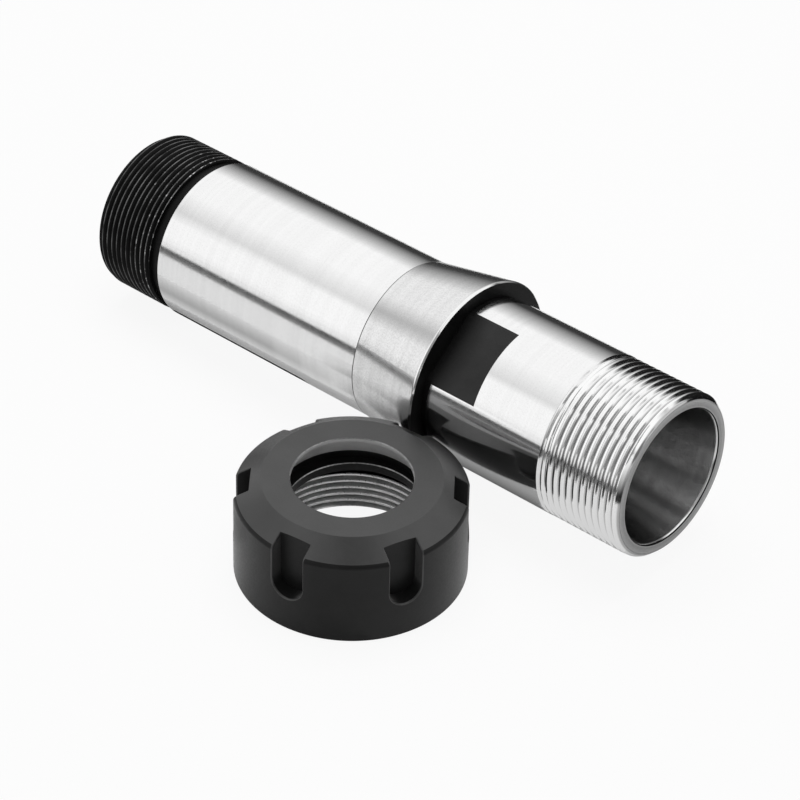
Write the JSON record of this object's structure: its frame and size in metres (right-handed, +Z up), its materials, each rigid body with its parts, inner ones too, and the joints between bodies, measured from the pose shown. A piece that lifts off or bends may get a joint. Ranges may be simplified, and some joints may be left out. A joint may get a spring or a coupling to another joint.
{
  "type": "collet chuck holder",
  "caption": "Cylindrical keyed shank with a threaded rear end, a tapered seating head and a threaded collet nose, lying beside its slotted clamping nut.",
  "frame": {"origin": "middle of the layout's plan, on the surface that the holder and its nut rest on", "axes": "+X towards the holder's nose, +Y away from the nut, +Z up; the holder's own axis rises 2.1 degrees towards its nose"},
  "size_m": [0.1296, 0.078, 0.0374],
  "materials": {
    "ground_steel": "ground, fine lines round the axis, with a black oxide rear thread and blackened wrench flats",
    "black_steel": "satin black oxide"
  },
  "bodies": {
    "root": {"holder_body": "ground_steel", "clamping_nut": "black_steel"}
  },
  "joints": []
}
